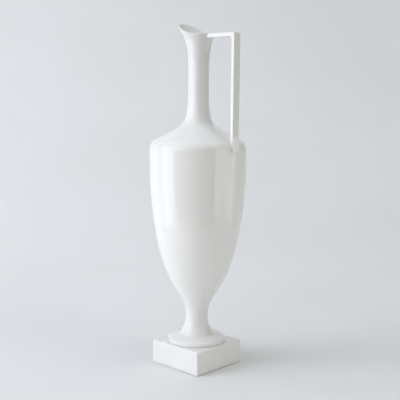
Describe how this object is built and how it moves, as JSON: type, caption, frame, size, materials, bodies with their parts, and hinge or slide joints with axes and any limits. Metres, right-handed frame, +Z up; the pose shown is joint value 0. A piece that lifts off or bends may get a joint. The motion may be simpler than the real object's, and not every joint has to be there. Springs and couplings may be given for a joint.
{
  "type": "amphora vase",
  "caption": "Tall white glazed amphora with a slim neck, pouring lip and right-angle strap handle, on a round stemmed foot bolted to a square plinth.",
  "frame": {"origin": "on the vessel's axis, at the level of the surface that the felt under the plinth stands on", "axes": "+Z up along the vessel's axis, +X towards the handle, -X towards the pouring lip, plinth sides square to X and Y"},
  "size_m": [0.1289, 0.1272, 0.4499],
  "materials": {
    "vessel_glaze": "gloss",
    "plinth_glaze": "gloss",
    "silicone": "satin",
    "plaster": "matte",
    "steel": "satin",
    "felt": "matte"
  },
  "bodies": {
    "root": {"plinth": "plinth_glaze", "foot": "vessel_glaze", "body": "vessel_glaze", "neck": "vessel_glaze", "handle": "vessel_glaze", "seat_gasket": "silicone", "setting_plug": "plaster", "bolt": "steel", "cushion_washer": "silicone", "plate_washer": "steel", "nut": "steel", "base_felt": "felt"}
  },
  "joints": []
}
